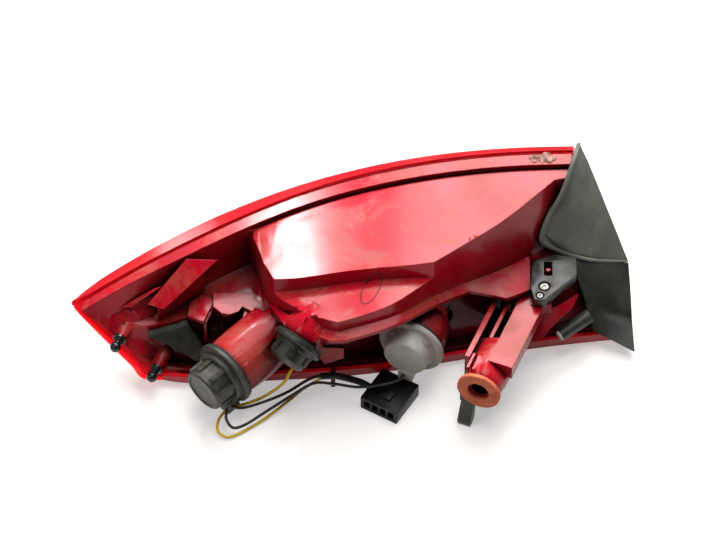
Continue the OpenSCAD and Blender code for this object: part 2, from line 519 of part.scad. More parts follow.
// Trim at the wide end: a dished gusset, a corner panel, a bracket with its screws and a clip post
trim_t = 2.2;
gusset_rows = [
    [[145, 90, 107], [145.4, 89.4, 106], [145.8, 89, 105.5], [146.2, 89, 105.2]],
    [[140.7, 72.8, 108], [143.5, 72, 102.6], [149, 76, 94.6], [154.5, 79.5, 87]],
    [[132.7, 56.5, 93.2], [138, 54.4, 84.8], [150, 60, 76], [163, 68.5, 68]],
    [[124.7, 50.3, 80], [131, 46, 71.2], [149, 50, 60], [170.5, 59.5, 51]],
    [[120, 42.8, 71], [128, 41, 60.6], [150, 43.6, 48.6], [175.5, 53, 39.5]],
    [[120, 39.5, 63.5], [133, 42.4, 51.4], [153, 41.4, 43.8], [178.5, 49.8, 32.4]]];
// The corner panel shares its top row with the foot of the gusset
corner_rows = [
    [[139, 41.3, 48.6], [153, 40.6, 43.4], [165, 43.4, 39.8], [178.5, 48.9, 32.4]],
    [[144, 29, 39.2], [156, 28.8, 35.6], [167, 29.6, 32], [180, 30, 21.2]],
    [[150, 18, 28], [158, 19, 24], [168, 18, 19], [180.6, 12, 13]],
    [[153, 6, 13], [160, 4, 11], [169, 0, 9], [182, -6, 6.5]]];
trim_gap = [0, -1.5, 1.8];
module trim_gusset() color([0.41, 0.42, 0.37]) in_body() translate(trim_gap) panel(gusset_rows, -trim_t);
module trim_corner() color([0.2, 0.2, 0.2]) in_body() translate(trim_gap) panel(corner_rows, -trim_t);

// Bracket: a plate over the end of the flange, with a slot for the locating peg
bracket_z = 51;
bracket_t = 7;
bracket_screw_at = [[121.3, 7, 3.6], [118.2, -0.7, 2.4]];
screw_hole_r = 1.6;
peg_at = [124, 22.2];
bracket_outline = [[114.5, 28.7], [129, 34.7], [142.7, 31.7], [142.7, 16.7], [121.5, -4.3], [114.5, -4.3], [112, 6.7]];
module drill(x, y, r, z, h) translate([x * kl, y, z]) cylinder(r = r, h = h);
module trim_bracket() color(black) in_body() difference() {
    translate([0, 0, bracket_z * kz]) linear_extrude(bracket_t) polygon([for (p = bracket_outline) [p.x * kl, p.y]]);
    translate([peg_at.x * kl - 2.8, peg_at.y - 6, bracket_z * kz - 1]) cube([5.6, 12, bracket_t + 2]);
    for (p = bracket_screw_at) drill(p.x, p.y, screw_hole_r, bracket_z * kz - 1, bracket_t + 2);
    for (p = bracket_screw_at) drill(p.x, p.y, p.z + 0.6, bracket_z * kz + bracket_t - 2, 3);
}
module bracket_screws() color([0.75, 0.75, 0.75]) in_body() for (p = bracket_screw_at)
    translate([p.x * kl, p.y, bracket_z * kz + bracket_t - 2]) {
        difference() {
            cylinder(r1 = p.z, r2 = p.z * 0.75, h = 1.8);
            for (a = [0, 90]) rotate(a + 20) translate([-p.z * 0.6, -0.35, 1]) cube([p.z * 1.2, 0.7, 1]);
        }
        translate([0, 0, -bracket_t - 4]) cylinder(r = screw_hole_r - 0.15, h = bracket_t + 4 + eps);
    }
module screw_ways() for (p = bracket_screw_at) drill(p.x, p.y, screw_hole_r, bracket_z * kz - 10, 14);
// Seat of the bracket and the peg that shows in its slot, part of the housing
module bracket_seat() {
    difference() {
        translate([112 * kl, -3, bracket_z * kz - 9]) cube([14, 36, 9 - 0.2]);
        for (p = bracket_screw_at) drill(p.x, p.y, screw_hole_r, bracket_z * kz - 7, 9);
    }
    drill(peg_at.x, peg_at.y, 1.9, bracket_z * kz - 9, 9 + bracket_t - 1);
}

// Clip post of the corner panel, and the white ring on its tip
post_from = [152, 8.6, 25.6];
post_to = [132.7, -3.7, 20];
post_r = 4;
post_bore = 2.4;
module at_post(d = 0) translate(stretch(post_from)) aim(stretch(post_to) - stretch(post_from)) translate([0, 0, d]) children();
post_len = norm(stretch(post_to) - stretch(post_from));
module trim_post() color([0.16, 0.16, 0.15]) in_body() at_post() difference() {
    cylinder(r1 = post_r + 1, r2 = post_r, h = post_len);
    translate([0, 0, post_len - 14]) cylinder(r = post_bore, h = 15);
}
module post_ring() color([0.85, 0.83, 0.8]) in_body() at_post(post_len + 0.1) difference() {
    cylinder(r = post_r - 0.4, h = 1.6);
    translate([0, 0, -1]) cylinder(r = post_bore - 0.8, h = 4);
}

// Connector block on the table, with a row of cavities in its near face
plug_back = [36.3, -19.2, 0];
plug_turn = -9;
module connector() color(black) in_mount() translate(site(plug_back)) rotate(plug_turn) difference() {
    union() {
        translate([-plug_w / 2, -plug_len, 0]) cube([plug_w, plug_len, plug_h]);
        translate([-5, -plug_len + 6, plug_h - eps]) cube([10, 14, 2]);
    }
    for (x = [-9, -3, 3, 9]) translate([x - 2.2, -plug_len - 1, 2.5]) cube([4.4, 13, plug_h - 5]);
}

// Wire routes in the mounting frame, hand placed along the table and round the holders
yellow_short_route = [[-24.6, -57, 36.3], [-26, -61.5, 33.5], [-27.5, -64, 28.5], [-33, -67, 20.5], [-41, -72, 13.5], [-49.5, -78.5, 10.5],
    [-55.9, -83.9, 10.4]];
yellow_long_route = [[-60.7, -88.4, 9.1], [-62.5, -95, 7.5], [-61.5, -101, 5], [-57, -104, 3], [-50, -101, 2], [-38, -83, 2], [-27, -63, 5],
    [-20, -53, 10], [-10, -45.8, 17.8]];
black_route = [[-59.3, -89.2, 11.4], [-57.5, -95, 9.5], [-51.5, -98, 6.5], [-45, -92, 6], [-36, -77, 7], [-25, -61.5, 10.3], [-13, -52, 18], [0, -48, 19],
    [16, -44.5, 19], [30, -37, 19.5], [38, -30, 19.5], [40, -24, 19.5]];
brown_route = [[-56.8, -86.1, 12.6], [-50, -85, 13], [-40, -75, 12], [-28, -62, 13], [-18, -50, 17], [-10, -44.6, 19.8]];
sleeve_route = [[-10, -45, 19], [-3, -40, 17], [4, -35, 12], [12, -30.6, 6.6], [19.9, -31.8, 6]];
sleeve_d = 4.6;
module wire(route, d, n) in_mount() tube(path([for (p = route) site(p)], n), d / 2);
module wire_yellow_short() color([0.85, 0.7, 0.1]) wire(yellow_short_route, wire_d, 2);
module wire_yellow_long() color([0.85, 0.7, 0.1]) wire(yellow_long_route, wire_d, 3);
module wire_black() color(black) wire(black_route, wire_d, 2);
module wire_brown() color([0.25, 0.18, 0.1]) wire(brown_route, wire_d, 2);
module harness_sleeve() color(black) wire(sleeve_route, sleeve_d, 2);

module bulb_stop() in_mount() at_grey() bulb(grey_barrel, bulb_r);
module bulb_indicator() in_mount() at_left() bulb(left_barrel, bulb_r);
module bulb_reverse() in_mount() at_mid() bulb(mid_barrel, small_bulb_r);
module gasket_left() in_mount() at_left() gasket(flange_r);
module gasket_mid() in_mount() at_mid() gasket(mid_flange_r);
module gasket_right() in_mount() at_grey() gasket(flange_r);
module ball_pin_upper() ball_pin(pin_upper);
module ball_pin_lower() ball_pin(pin_lower);

outer_lens();
housing();
rim_seal();
reflector();
bulb_stop();
bulb_indicator();
bulb_reverse();
holder_left();
holder_mid();
holder_right();
gasket_left();
gasket_mid();
gasket_right();
ball_pin_upper();
ball_pin_lower();
boss_washer();
boss_clip();
foam_pad();
trim_gusset();
trim_corner();
trim_bracket();
bracket_screws();
trim_post();
post_ring();
connector();
harness_sleeve();
wire_yellow_short();
wire_yellow_long();
wire_black();
wire_brown();
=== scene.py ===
# Tail light cluster on a pale table: moulded red housing, crimson lens, bulb holders,
# wires with their plug, and the grey trim of the wide end.
import json
from math import cos, exp, pi, radians, sin
import bmesh
import bpy
import numpy as np
from mathutils import Matrix, Vector, noise
from mathutils.bvhtree import BVHTree


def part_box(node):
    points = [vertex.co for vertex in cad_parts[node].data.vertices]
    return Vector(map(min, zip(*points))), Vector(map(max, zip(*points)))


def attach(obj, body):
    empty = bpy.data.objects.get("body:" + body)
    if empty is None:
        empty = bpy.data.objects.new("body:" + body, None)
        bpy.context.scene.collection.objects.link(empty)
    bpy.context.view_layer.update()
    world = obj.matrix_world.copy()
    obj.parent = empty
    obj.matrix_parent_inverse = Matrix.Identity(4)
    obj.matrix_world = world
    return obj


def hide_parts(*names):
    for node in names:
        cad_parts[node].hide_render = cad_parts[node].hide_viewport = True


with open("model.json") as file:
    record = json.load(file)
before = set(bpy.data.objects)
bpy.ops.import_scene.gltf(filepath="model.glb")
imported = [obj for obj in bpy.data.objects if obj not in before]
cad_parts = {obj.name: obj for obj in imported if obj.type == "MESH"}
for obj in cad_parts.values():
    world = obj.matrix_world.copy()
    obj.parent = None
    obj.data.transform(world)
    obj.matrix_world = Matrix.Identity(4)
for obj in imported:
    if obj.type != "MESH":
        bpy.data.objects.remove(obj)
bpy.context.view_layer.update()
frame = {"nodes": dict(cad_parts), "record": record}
scene = bpy.context.scene
nodes = frame["nodes"]
mm = 0.001
print("frame loaded:", len(nodes), "nodes")

# Places are written as in the drawing: mm from the drawing point on the table, or along the turned body
body = {"yaw": radians(22), "mouth": Vector((95.5, -31, 35))}


def fromDrawing(x, y, z):
    return (Vector((x, y, z)) - body["mouth"]) * mm


def fromBody(along, across, z):
    c, s = cos(body["yaw"]), sin(body["yaw"])
    return fromDrawing(along * c - across * s, along * s + across * c, z)


def placed(name, data):
    thing = bpy.data.objects.new(name, data)
    scene.collection.objects.link(thing)
    return thing


# Camera, first because the lens rim, the pinch, the marks on the housing and the windows are placed against
# its view; distances in metres, lens in mm
view = {"azimuth": radians(22), "elevation": radians(50), "distance": 4.8, "reach": 30, "lens": 359,
        "rise": 52.7 * mm}
toCamera = Vector((sin(view["azimuth"]) * cos(view["elevation"]),
                   -cos(view["azimuth"]) * cos(view["elevation"]), sin(view["elevation"])))
viewRight = Vector((cos(view["azimuth"]), sin(view["azimuth"]), 0))
viewUp = toCamera.cross(viewRight)
target = fromDrawing(0, 0, 0) + viewUp * view["rise"]
cameraData = bpy.data.cameras.new("camera")
cameraData.lens = view["lens"]
cameraData.clip_end = view["reach"]
camera = placed("camera", cameraData)
camera.location = target + toCamera * view["distance"]
camera.rotation_euler = (-toCamera).to_track_quat("-Z", "Y").to_euler()
scene.camera = camera
scene.view_settings.view_transform = "Standard"

# Frame of the photograph in pixels, and its scale at the object
photo = {"width": 722, "height": 542, "pixelsPerMm": 1.5}


def hexColor(text):
    values = [int(text[i:i + 2], 16) / 255 for i in (1, 3, 5)]
    return [v / 12.92 if v <= 0.04045 else ((v + 0.055) / 1.055) ** 2.4 for v in values] + [1]


def addNode(tree, kind, sockets=None, **settings):
    node = tree.nodes.new("ShaderNode" + kind)
    for name, value in settings.items():
        setattr(node, name, value)
    for name, value in (sockets or {}).items():
        if isinstance(value, bpy.types.NodeSocket):
            tree.links.new(value, node.inputs[name])
        else:
            node.inputs[name].default_value = value
    return node


# 1 for what the eye sees straight, mirrored or through a clear piece, 0 for what only lights
def seenRays(tree):
    rays = addNode(tree, "LightPath")
    seen = rays.outputs["Is Camera Ray"]
    for kind in ("Is Glossy Ray", "Is Transmission Ray"):
        seen = addNode(tree, "Math", {0: seen, 1: rays.outputs[kind]}, operation="MAXIMUM").outputs[0]
    return seen


# Dust: a smeared film, thicker where the surface faces up, which also dulls it
def dustLayer(tree, place, colour, roughness, spec):
    amount, dustColour = spec["dust"]
    smear = addNode(tree, "TexNoise", {"Vector": place, "Scale": 1000 / spec["smear"], "Detail": 7.0,
                                       "Roughness": 0.68, "Distortion": 0.5})
    film = addNode(tree, "MapRange", {"Value": smear.outputs["Fac"], "From Min": 0.46, "From Max": 0.8,
                                      "To Max": amount * 1.6})
    normal = addNode(tree, "NewGeometry").outputs["Normal"]
    upward = addNode(tree, "SeparateXYZ", {0: normal}).outputs["Z"]
    lies = addNode(tree, "MapRange", {"Value": upward, "From Min": -0.2, "From Max": 0.9, "To Min": 0.25})
    film = addNode(tree, "Math", {0: film.outputs[0], 1: lies.outputs[0]}, operation="MULTIPLY").outputs[0]
    dusty = addNode(tree, "Mix", {0: film, 6: colour, 7: hexColor(dustColour)}, data_type="RGBA")
    dulled = addNode(tree, "MapRange", {"Value": film, "To Min": 0.0, "To Max": 0.45})
    rougher = addNode(tree, "Math", {0: dulled.outputs[0], 1: roughness}, operation="ADD")
    return dusty.outputs[2], rougher.outputs[0]


# Painted shade with grime: the colour goes towards near black where ambient occlusion finds the surface
# shut in by its neighbours
def grimeAndShadeLayer(tree, colour, spec):
    reach, amount, grimeShadeColour = spec["grimeAndShade"]
    openness = addNode(tree, "AmbientOcclusion", {"Distance": reach * mm}, samples=6)
    shadedGroove = addNode(tree, "MapRange", {"Value": openness.outputs["AO"], "From Min": 0.3, "From Max": 0.9,
                                        "To Min": amount, "To Max": 0.0})
    grimyShaded = addNode(tree, "Mix", {0: shadedGroove.outputs[0], 6: colour, 7: hexColor(grimeShadeColour)},
                    data_type="RGBA")
    return grimyShaded.outputs[2]


# A moulded or rubber-like surface: two shades of one colour, dust where it faces up, and a fine grain
def surface(name, spec):
    material = bpy.data.materials.new(name)
    material.use_nodes = True
    tree = material.node_tree
    shader = tree.nodes["Principled BSDF"]
    place = addNode(tree, "TexCoord").outputs["Object"]
    patches = addNode(tree, "TexNoise", {"Vector": place, "Scale": 1000 / spec["patch"], "Detail": 4.0,
                                         "Roughness": 0.6}).outputs["Fac"]
    blotch = addNode(tree, "MapRange", {"Value": patches, "From Min": 0.38, "From Max": 0.64})
    first, second = [hexColor(shade) for shade in spec["shades"]]
    colour = addNode(tree, "Mix", {0: blotch.outputs[0], 6: first, 7: second}, data_type="RGBA").outputs[2]
    roughness = addNode(tree, "MapRange", {"Value": patches, "From Min": 0.3, "From Max": 0.7,
                                           "To Min": spec["rough"] - 0.05,
                                           "To Max": spec["rough"] + 0.07}).outputs[0]
    if "dust" in spec:
        colour, roughness = dustLayer(tree, place, colour, roughness, spec)
    # Painted shade with grime, darker in the hollows
    if "grimeAndShade" in spec:
        colour = grimeAndShadeLayer(tree, colour, spec)
    grainWidth, grainDepth = spec["grain"]
    grain = addNode(tree, "TexNoise", {"Vector": place, "Scale": 1000 / grainWidth, "Detail": 3.0})
    relief = {"Height": grain.outputs["Fac"], "Strength": 0.55, "Distance": grainDepth * mm}
    if "round" in spec:
        relief["Normal"] = addNode(tree, "Bevel", {"Radius": spec["round"] * mm}, samples=4).outputs[0]
    bump = addNode(tree, "Bump", relief)
    tree.links.new(colour, shader.inputs["Base Color"])
    tree.links.new(roughness, shader.inputs["Roughness"])
    tree.links.new(bump.outputs[0], shader.inputs["Normal"])
    shader.inputs["IOR"].default_value = 1.5
    for socket, value in spec.get("shader", {}).items():
        shader.inputs[socket].default_value = value
    return material


# Widths in mm: patch is a spot of the second shade, smear a spot of dust, grain the width and depth of the
# texture, round the softened edge. Dust is its amount and colour; the painted shade with grime in the
# hollows is its reach in mm, amount and colour.
finishes = {
    # PC/ABS pigmented red in the melt: glossy moulding, with a brown dust film on what faces up, and
    # near-black painted shade with grime in its hollows
    "housing_red": {"shades": ("#d2102a", "#b90c22"), "rough": 0.17, "patch": 60, "grain": (2.2, 0.04),
                    "round": 0.7, "dust": (0.5, "#a87257"), "smear": 34, "grimeAndShade": (42, 1.0, "#1a0605"),
                    "shader": {"Specular IOR Level": 0.2, "Coat Weight": 0.06, "Coat Roughness": 0.08}},
    # Butyl sealing bead, soft and matt
    "seal_black": {"shades": ("#2a1613", "#3c221c"), "rough": 0.7, "patch": 6, "grain": (1.1, 0.2),
                   "dust": (0.5, "#6b4a3c"), "smear": 6},
    # Glass-filled polyamide: charcoal, dry sheen, road film on the upper faces
    "holder_dark": {"shades": ("#39382f", "#2c2c26"), "rough": 0.42, "patch": 14, "grain": (0.8, 0.05),
                    "dust": (0.4, "#7a7566"), "smear": 9},
    # The same polyamide in black, less dusty
    "holder_black": {"shades": ("#22241f", "#191b18"), "rough": 0.38, "patch": 12, "grain": (0.8, 0.04),
                     "dust": (0.25, "#6a6557"), "smear": 8},
    # PBT in its natural light grey, satin, with painted shade and grime in its hollows
    "holder_grey": {"shades": ("#d2cec2", "#c2beb1"), "rough": 0.45, "patch": 15, "grain": (0.7, 0.04),
                    "dust": (0.3, "#8a857c"), "smear": 9, "grimeAndShade": (14, 0.85, "#24221e")},
    # EPDM rubber ring, matt with a grey bloom
    "gasket_black": {"shades": ("#1d1d1b", "#262622"), "rough": 0.75, "patch": 8, "grain": (0.5, 0.06)},
    # Acetal ball pins, slick and nearly clean
    "pin_black": {"shades": ("#121312", "#1b1c1a"), "rough": 0.25, "patch": 7, "grain": (0.9, 0.02)},
    # Terracotta coloured rubber washer, chalky
    "washer_orange": {"shades": ("#f37a50", "#e06b45"), "rough": 0.6, "patch": 7, "grain": (0.6, 0.07),
                      "dust": (0.35, "#8a5d4e"), "smear": 5},
    # Polyamide clip in black, a little worn
    "clip_black": {"shades": ("#1b1c17", "#26271f"), "rough": 0.4, "patch": 9, "grain": (0.8, 0.04),
                   "dust": (0.3, "#6a6557"), "smear": 7},
    # Unpainted polypropylene trim: grey-green, fine spark-eroded grain
    "trim_grey": {"shades": ("#70736a", "#5f6259"), "rough": 0.55, "patch": 40, "grain": (0.55, 0.09),
                  "dust": (0.35, "#a39c8b"), "smear": 18},
    # Polypropylene in charcoal, half in shade, so hardly any dust shows
    "trim_black": {"shades": ("#1c1d19", "#161713"), "rough": 0.5, "patch": 30, "grain": (0.6, 0.08),
                   "dust": (0.16, "#6e685b"), "smear": 16},
    # Glass-filled polyamide bracket, dusty on its face
    "bracket_dark": {"shades": ("#121310", "#1a1b17"), "rough": 0.4, "patch": 16, "grain": (0.8, 0.05),
                     "dust": (0.35, "#777265"), "smear": 10},
    # Polypropylene post, satin
    "post_dark": {"shades": ("#2e2f2a", "#262723"), "rough": 0.42, "patch": 12, "grain": (0.8, 0.05),
                  "dust": (0.2, "#777265"), "smear": 9},
    # Acetal ring in natural white, yellowed
    "ring_white": {"shades": ("#d8d2c6", "#c6bfb2"), "rough": 0.45, "patch": 4, "grain": (0.6, 0.03)},
    # PBT connector block, deep black
    "connector_black": {"shades": ("#080807", "#0e0e0d"), "rough": 0.42, "patch": 9, "grain": (0.8, 0.03),
                        "dust": (0.1, "#4a463e"), "smear": 8, "shader": {"Specular IOR Level": 0.25}},
    # Braided polyester sleeve, dull
    "sleeve_black": {"shades": ("#141413", "#201f1d"), "rough": 0.7, "patch": 3, "grain": (0.7, 0.25)},
    # PVC insulation, satin, a little grubby
    "wire_yellow": {"shades": ("#ffd61a", "#fbca14"), "rough": 0.3, "patch": 9, "grain": (0.6, 0.02),
                    "dust": (0.06, "#6d5a30"), "smear": 6},
    # The same insulation in black and in brown
    "wire_black": {"shades": ("#161513", "#1f1d1b"), "rough": 0.36, "patch": 9, "grain": (0.6, 0.02)},
    "wire_brown": {"shades": ("#35211a", "#291913"), "rough": 0.38, "patch": 9, "grain": (0.6, 0.02)},
    # Zinc plated steel, turned, with a grey bloom
    "screw_steel": {"shades": ("#86857e", "#6c6a62"), "rough": 0.42, "patch": 2, "grain": (0.5, 0.03),
                    "shader": {"Metallic": 1.0}},
    # Vacuum metallised plastic
    "reflector_bright": {"shades": ("#dcdcde", "#cfcfd2"), "rough": 0.1, "patch": 30, "grain": (9, 0.02),
                         "shader": {"Metallic": 1.0}},
    # Closed-cell polyethylene foam: dark, dull, full of fine cells
    "foam_dark": {"shades": ("#34362e", "#292b25"), "rough": 0.82, "patch": 9, "grain": (0.9, 0.45),
                  "dust": (0.2, "#6a6557"), "smear": 10},
    # Hot-melt glue gone brown, half gloss
    "glue_brown": {"shades": ("#6a4532", "#c58d7c"), "rough": 0.35, "patch": 6, "grain": (1.5, 0.3)},
    # Ink of a marker pen, thin enough for the red to show
    "pen_mark": {"shades": ("#4a0f16", "#5a141c"), "rough": 0.5, "patch": 5, "grain": (1, 0.02)},
}
materials = {name: surface(name, spec) for name, spec in finishes.items()}

# Clear mouldings: patch is the width of a hazy spot in mm, clear the share of light that goes through
mouldings = {
    # Acrylic, injection moulded: red through and through, with a hard polish
    "lens_red": {"shades": ("#ff2436", "#fa1c2e"), "patch": 45, "rough": 0.05, "ior": 1.49, "clear": 0.5},
    # The welded rim of the same acrylic, frosted by the weld, which also gets a painted glow
    "lens_rim": {"shades": ("#ff1c28", "#ff101e"), "patch": 30, "rough": 0.12, "ior": 1.49, "clear": 0.1},
    # Soda-lime glass bulb, colourless
    "bulb_glass": {"shades": ("#e6ded0", "#d8cfc0"), "patch": 8, "rough": 0.03, "ior": 1.5, "clear": 0.8},
}
# Painted glow: the rim's material gives out red light of its own, though it is no lamp, standing in for
# daylight piped along the lens
paintedRimGlow = {"colour": "#ff1a1c", "strength": 0.5}


def clearMoulding(name, spec):
    material = bpy.data.materials.new(name)
    material.use_nodes = True
    tree = material.node_tree
    shader = tree.nodes["Principled BSDF"]
    place = addNode(tree, "TexCoord").outputs["Object"]
    haze = addNode(tree, "TexNoise", {"Vector": place, "Scale": 1000 / spec["patch"], "Detail": 5.0})
    rough = addNode(tree, "MapRange", {"Value": haze.outputs["Fac"], "From Min": 0.35, "From Max": 0.75,
                                       "To Min": spec["rough"], "To Max": spec["rough"] + 0.12})
    tint = addNode(tree, "MapRange", {"Value": haze.outputs["Fac"], "From Min": 0.3, "From Max": 0.8})
    first, second = [hexColor(shade) for shade in spec["shades"]]
    shade = addNode(tree, "Mix", {0: tint.outputs[0], 6: first, 7: second}, data_type="RGBA")
    tree.links.new(shade.outputs[2], shader.inputs["Base Color"])
    tree.links.new(rough.outputs[0], shader.inputs["Roughness"])
    shader.inputs["IOR"].default_value = spec["ior"]
    shader.inputs["Transmission Weight"].default_value = spec["clear"]
    return material


for name, spec in mouldings.items():
    materials[name] = clearMoulding(name, spec)
# The painted glow goes into the rim's material as emission
rimShader = materials["lens_rim"].node_tree.nodes["Principled BSDF"]
rimShader.inputs["Emission Color"].default_value = hexColor(paintedRimGlow["colour"])
rimShader.inputs["Emission Strength"].default_value = paintedRimGlow["strength"]
slotOf = {part["node"]: part["material_slot"] for part in frame["record"]["subparts"]}
for name, node in nodes.items():
    node.data.materials.clear()
    node.data.materials.append(materials[slotOf[name]])
print("materials:", len(materials))


# A copy of a node with its triangles joined, for smooth shading and rounded edges; mm and degrees
quadAngles = {"face": 50, "shape": 60}


def joined(name, newName, quads=False, weld=0.004, sliver=0.03):
    mesh = nodes[name].data.copy()
    work = bmesh.new()
    work.from_mesh(mesh)
    bmesh.ops.remove_doubles(work, verts=work.verts, dist=weld * mm)
    bmesh.ops.dissolve_degenerate(work, edges=work.edges, dist=sliver * mm)
    if quads:
        bmesh.ops.join_triangles(work, faces=work.faces, angle_face_threshold=radians(quadAngles["face"]),
                                 angle_shape_threshold=radians(quadAngles["shape"]))
    work.to_mesh(mesh)
    work.free()
    mesh.name = newName
    return placed(newName, mesh)


# The piece takes the node's place and its finish
def stands(piece, name):
    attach(piece, "root")
    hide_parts(name)


def smoothBy(mesh, degrees):
    for polygon in mesh.polygons:
        polygon.use_smooth = True
    mesh.set_sharp_from_angle(angle=radians(degrees))


def applyModifiers(piece):
    bpy.context.view_layer.update()
    done = bpy.data.meshes.new_from_object(piece.evaluated_get(bpy.context.evaluated_depsgraph_get()))
    piece.modifiers.clear()
    piece.data = done


# Thin sheets get finer by subdivision; their rims stay crisp
def finer(piece, degrees, levels):
    work = bmesh.new()
    work.from_mesh(piece.data)
    crease = work.edges.layers.float.new("crease_edge")
    for edge in work.edges:
        if len(edge.link_faces) != 2 or edge.calc_face_angle(0) > radians(degrees):
            edge[crease] = 1.0
    work.to_mesh(piece.data)
    work.free()
    change = piece.modifiers.new("finer", "SUBSURF")
    change.levels = change.render_levels = levels
    applyModifiers(piece)


# Fairing of the moulded shell: fine triangles, crisp edges kept, and what lies between them drawn smooth.
# Lengths in mm, angles in degrees; pull is the share of the way that a point moves in each round.
fairing = {"weld": 0.08, "sliver": 0.12, "longest": 3.2, "cuts": 7, "crease": 21, "shallow": 24,
           "rounds": 70, "pull": 0.5, "edgePull": 0.35}


def unitRows(rows):
    return rows / np.maximum(np.linalg.norm(rows, axis=1, keepdims=True), 1e-12)


def gather(places, values, size):
    return np.stack([np.bincount(places, values[:, k], size) for k in range(3)], axis=1)


def vertexNormals(points, corners):
    a, b, c = (points[corners[:, k]] for k in range(3))
    faceNormals = np.cross(b - a, c - a)
    return unitRows(gather(corners.T.ravel(), np.tile(faceNormals, (3, 1)), len(points)))


def meanOfNeighbours(points, links):
    here, there = np.concatenate([links, links[:, ::-1]]).T
    count = np.bincount(here, minlength=len(points))
    return gather(here, points[there], len(points)) / np.maximum(count, 1)[:, None]


def splitLong(work, spec):
    for _ in range(spec["cuts"]):
        tooLong = [edge for edge in work.edges if edge.calc_length() > spec["longest"] * mm]
        if not tooLong:
            break
        bmesh.ops.subdivide_edges(work, edges=tooLong, cuts=1)
        bmesh.ops.triangulate(work, faces=[face for face in work.faces if len(face.verts) > 3])
    work.verts.index_update()


def fair(piece, spec):
    work = bmesh.new()
    work.from_mesh(piece.data)
    for edge in work.edges:
        edge.smooth = len(edge.link_faces) == 2 and edge.calc_face_angle(0) < radians(spec["crease"])
    splitLong(work, spec)
    points = np.array([vertex.co for vertex in work.verts])
    corners = np.array([[vertex.index for vertex in face.verts] for face in work.faces])
    links = np.array([[vertex.index for vertex in edge.verts] for edge in work.edges])
    sharp = np.array([not edge.smooth for edge in work.edges])
    ridges = links[sharp]
    onRidge = np.zeros(len(points), bool)
    onRidge[ridges.ravel()] = True
    # A ridge point may slide where just two ridges meet there nearly in line; corners stay put
    degree = np.bincount(ridges.ravel(), minlength=len(points))
    here, there = np.concatenate([ridges, ridges[:, ::-1]]).T
    ways = gather(here, unitRows(points[there] - points[here]), len(points))
    gentle = (degree == 2) & (np.linalg.norm(ways, axis=1) < 2 * sin(radians(spec["shallow"] / 2)))
    for _ in range(spec["rounds"]):
        normals = vertexNormals(points, corners)
        rise = ((meanOfNeighbours(points, links) - points) * normals).sum(axis=1, keepdims=True) * normals
        along = np.where(gentle[:, None], meanOfNeighbours(points, ridges) - points, 0)
        points = points + np.where(onRidge[:, None], spec["edgePull"] * along, spec["pull"] * rise)
    for vertex, place in zip(work.verts, points):
        vertex.co = place
    work.to_mesh(piece.data)
    work.free()
    for polygon in piece.data.polygons:
        polygon.use_smooth = True
    print(piece.name, len(piece.data.polygons), "faces")


housing = joined("housing", "red_housing", weld=fairing["weld"], sliver=fairing["sliver"])
fair(housing, fairing)
stands(housing, "housing")

# Sheets: the new piece, the angle past which an edge stays crisp, and the levels of subdivision
sheetSmooth = 40
sheets = {"outer_lens": ("crimson_lens", 50, 2), "rim_seal": ("sealing_bead", 50, 1),
          "trim_gusset": ("grey_gusset", 62, 3), "trim_corner": ("dark_corner_panel", 62, 3)}
for name, (newName, degrees, levels) in sheets.items():
    piece = joined(name, newName, quads=True)
    finer(piece, degrees, levels)
    smoothBy(piece.data, sheetSmooth)
    stands(piece, name)

# The corner panel is pinched where it was bent in handling
pinch = {"from": fromBody(160, 17.5, 22), "to": fromBody(182, 13.5, 15), "depth": 3.2, "width": 2.6,
         "growth": 0.6}


def bent(place):
    along = pinch["to"] - pinch["from"]
    share = min(max((place - pinch["from"]).dot(along) / along.length_squared, 0), 1)
    gap = place - pinch["from"] - share * along
    gap -= gap.dot(toCamera) * toCamera
    near = exp(-(gap.length / (pinch["width"] * mm)) ** 2)
    return place - toCamera * pinch["depth"] * mm * share ** pinch["growth"] * near


for vertex in bpy.data.objects["dark_corner_panel"].data.vertices:
    vertex.co = bent(vertex.co)


# A round line through the places, which may thin out towards its ends or close on itself
def roundLine(name, places, radius, material, taper=1.0, closed=False, facets=4):
    curve = bpy.data.curves.new(name, "CURVE")
    curve.dimensions = "3D"
    curve.bevel_depth = radius * mm
    curve.bevel_resolution = facets
    curve.use_fill_caps = not closed
    line = curve.splines.new("POLY")
    line.points.add(len(places) - 1)
    for k, (point, place) in enumerate(zip(line.points, places)):
        point.co = (*place, 1)
        point.radius = 1 - (1 - taper) * abs(2 * k / (len(places) - 1) - 1) ** 3
    line.use_smooth = True
    line.use_cyclic_u = closed
    curve.materials.append(materials[material])
    return placed(name, curve)


def smoothPath(points, steps):
    path = []
    last = len(points) - 1
    for i in range(last):
        a, b, c, d = points[max(i - 1, 0)], points[i], points[i + 1], points[min(i + 2, last)]
        for k in range(steps):
            u = k / steps
            path.append(0.5 * (2 * b + (c - a) * u + (2 * a - 5 * b + 4 * c - d) * u * u
                               + (3 * b - a - 3 * c + d) * u ** 3))
    return path + [points[last]]


# Rolled edge of the gusset, along its free side and its foot
roll = {"radius": 1.9, "shift": (0, -1.5, 2.4), "taper": 0.35, "steps": 6, "line": [
    (145, 89, 107), (140.7, 72.8, 107.4), (133, 57, 92.8), (125.3, 50.4, 79.6), (120.6, 43.4, 70),
    (121, 40.6, 62.4), (133, 42.2, 51.6), (153, 41.2, 43.6), (178, 49.4, 32.6)]}
places = [fromBody(*(Vector(p) + Vector(roll["shift"]))) for p in roll["line"]]
rolledEdge = roundLine("gusset_rolled_edge", smoothPath(places, roll["steps"]), roll["radius"], "trim_grey",
                       roll["taper"])
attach(rolledEdge, "root")
